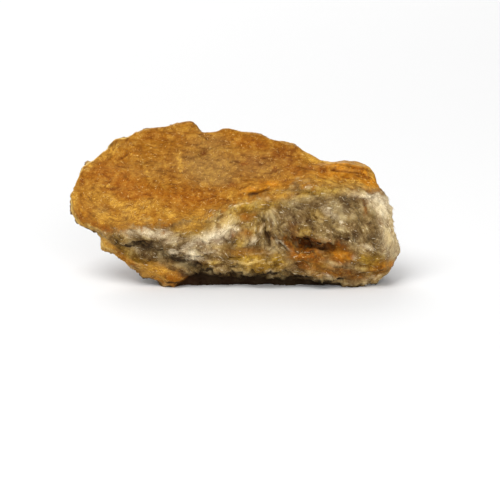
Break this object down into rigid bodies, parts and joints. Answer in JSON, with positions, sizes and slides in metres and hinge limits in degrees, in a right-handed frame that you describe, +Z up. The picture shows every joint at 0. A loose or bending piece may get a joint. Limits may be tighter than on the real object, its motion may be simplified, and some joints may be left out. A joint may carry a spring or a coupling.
{
  "type": "carpholite mineral specimen",
  "caption": "Broken hand specimen of fibrous ochre carpholite on pale quartz, with a leaning layered face, standing on a flat lower edge for display.",
  "frame": {"origin": "on the surface the specimen stands on, under the middle of its bounding box", "axes": "+X along the specimen's length to its thick quartz end, +Y from the leaning ochre face to the back, +Z up"},
  "size_m": [0.0688, 0.0238, 0.0323],
  "materials": {
    "rock": "rough broken stone: matted ochre fibres above, pale grey fibrous quartz below, rust stains"
  },
  "bodies": {
    "root": {"carpholite_rock": "rock"}
  },
  "joints": []
}
